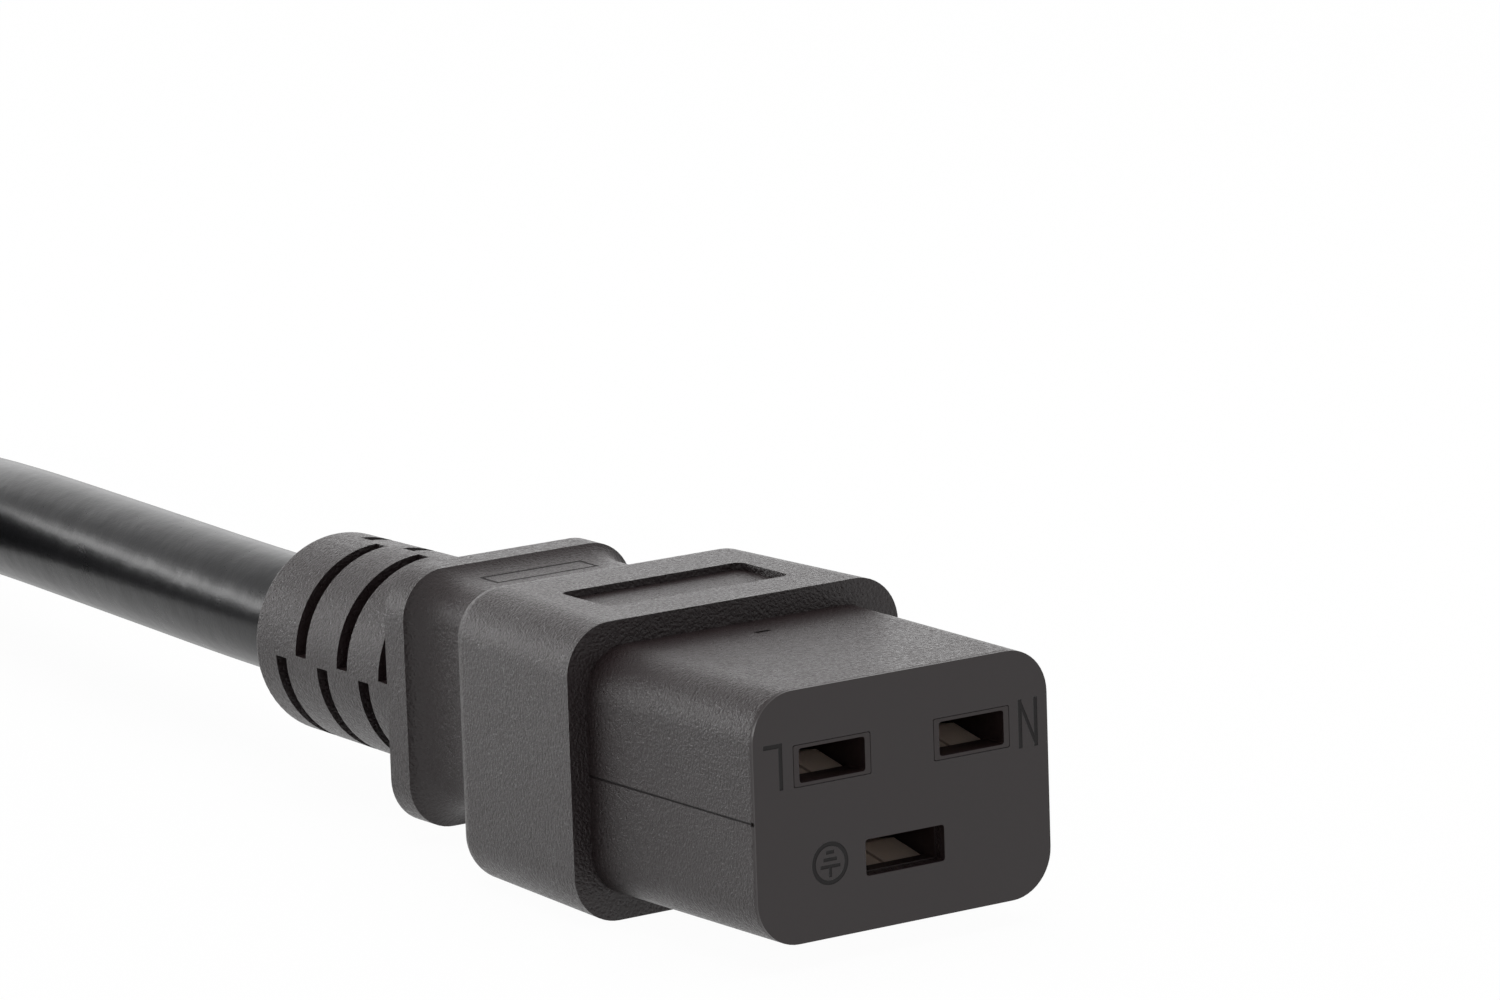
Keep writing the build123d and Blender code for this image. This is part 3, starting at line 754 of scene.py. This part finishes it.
def add_floor():
    """Pale floor that the camera and the reflections see as white, with a faint shadow."""
    mesh = bpy.data.meshes.new("floor")
    side = FLOOR_HALF
    corners = [(-side, -side, 0), (side, -side, 0), (side, side, 0), (-side, side, 0)]
    mesh.from_pydata(corners, [], [(0, 1, 2, 3)])
    floor = bpy.data.objects.new("floor", mesh)
    bpy.context.collection.objects.link(floor)
    recipe = Recipe("floor_white")
    recipe.finish(Base_Color=(0.9, 0.9, 0.9, 1.0), Roughness=0.9)
    glow = recipe.node("ShaderNodeEmission", None, {"Color": (1.0, 1.0, 1.0, 1.0), "Strength": 1.0})
    ray = recipe.tree.nodes.new("ShaderNodeLightPath")
    seen = Wire(recipe, ray.outputs["Is Camera Ray"]).high(Wire(recipe, ray.outputs["Is Glossy Ray"]))
    seen = seen.high(Wire(recipe, ray.outputs["Is Transmission Ray"]))
    plain = Wire(recipe, recipe.surface.outputs[0])
    mixed = recipe.node("ShaderNodeMixShader", None, {0: seen * FLOOR_GLOW, 1: plain, 2: glow})
    recipe.tree.links.new(mixed.socket, recipe.output.inputs["Surface"])
    mesh.materials.append(recipe.material)


def light_world():
    """White room to the camera and in reflections; as light it is darker overhead."""
    world = bpy.data.worlds.new("studio")
    bpy.context.scene.world = world
    world.use_nodes = True
    tree = world.node_tree
    tree.nodes.clear()
    ray = tree.nodes.new("ShaderNodeLightPath")
    seen = ray.outputs["Is Camera Ray"]
    for kind in ("Is Glossy Ray", "Is Transmission Ray"):
        either = tree.nodes.new("ShaderNodeMath")
        either.operation = "MAXIMUM"
        tree.links.new(seen, either.inputs[0])
        tree.links.new(ray.outputs[kind], either.inputs[1])
        seen = either.outputs[0]
    place = tree.nodes.new("ShaderNodeTexCoord")
    split = tree.nodes.new("ShaderNodeSeparateXYZ")
    tree.links.new(place.outputs["Generated"], split.inputs[0])
    fall = tree.nodes.new("ShaderNodeMapRange")
    fall.interpolation_type = "SMOOTHSTEP"
    for name, value in zip(("From Min", "From Max", "To Min", "To Max"), ROOM_FALL + ROOM_LIGHT):
        fall.inputs[name].default_value = value
    tree.links.new(split.outputs["Z"], fall.inputs["Value"])
    strength = tree.nodes.new("ShaderNodeMapRange")
    strength.inputs["To Max"].default_value = 1.0
    tree.links.new(seen, strength.inputs["Value"])
    tree.links.new(fall.outputs[0], strength.inputs["To Min"])
    light = tree.nodes.new("ShaderNodeBackground")
    tree.links.new(strength.outputs[0], light.inputs["Strength"])
    output = tree.nodes.new("ShaderNodeOutputWorld")
    tree.links.new(light.outputs[0], output.inputs["Surface"])


class CONNECTOR_OT_stage(bpy.types.Operator):
    """Add the camera, the lamps, the surroundings and the floor"""

    bl_idname = "connector.stage"
    bl_label = "Stage"

    def execute(self, context):
        context.scene.view_settings.view_transform = "Standard"
        add_camera()
        light_world()
        add_floor()
        for name, settings in LAMPS.items():
            add_lamp(name, *settings)
        return {"FINISHED"}


class CONNECTOR_PT_panel(bpy.types.Panel):
    """Lists the pieces, the sizes and the colours"""

    bl_idname = "CONNECTOR_PT_panel"
    bl_label = "Moulded power connector"
    bl_space_type = "VIEW_3D"
    bl_region_type = "UI"
    bl_category = "Connector"

    def draw(self, context):
        for step in STEPS:
            self.layout.operator(step.bl_idname)
        for group in (context.scene.connector_sizes, context.scene.connector_colours):
            for name in group.__annotations__:
                self.layout.prop(group, name)


STEPS = (
    CONNECTOR_OT_stage,
    CONNECTOR_OT_cord,
    CONNECTOR_OT_moulding,
    CONNECTOR_OT_inside,
    CONNECTOR_OT_plug,
)
CLASSES = (ConnectorColours, ConnectorSizes, CONNECTOR_PT_panel) + STEPS


def register():
    """Register the classes and the scene's properties."""
    for item in CLASSES:
        bpy.utils.register_class(item)
    bpy.types.Scene.connector_colours = bpy.props.PointerProperty(type=ConnectorColours)
    bpy.types.Scene.connector_sizes = bpy.props.PointerProperty(type=ConnectorSizes)


def unregister():
    """Remove the properties and the classes."""
    del bpy.types.Scene.connector_sizes
    del bpy.types.Scene.connector_colours
    for item in reversed(CLASSES):
        bpy.utils.unregister_class(item)


def main():
    """Build every piece and the stage."""
    register()
    bpy.ops.connector.stage()
    bpy.ops.connector.cord()
    bpy.ops.connector.moulding()
    bpy.ops.connector.inside()
    bpy.ops.connector.plug()


if __name__ == "__main__":
    main()
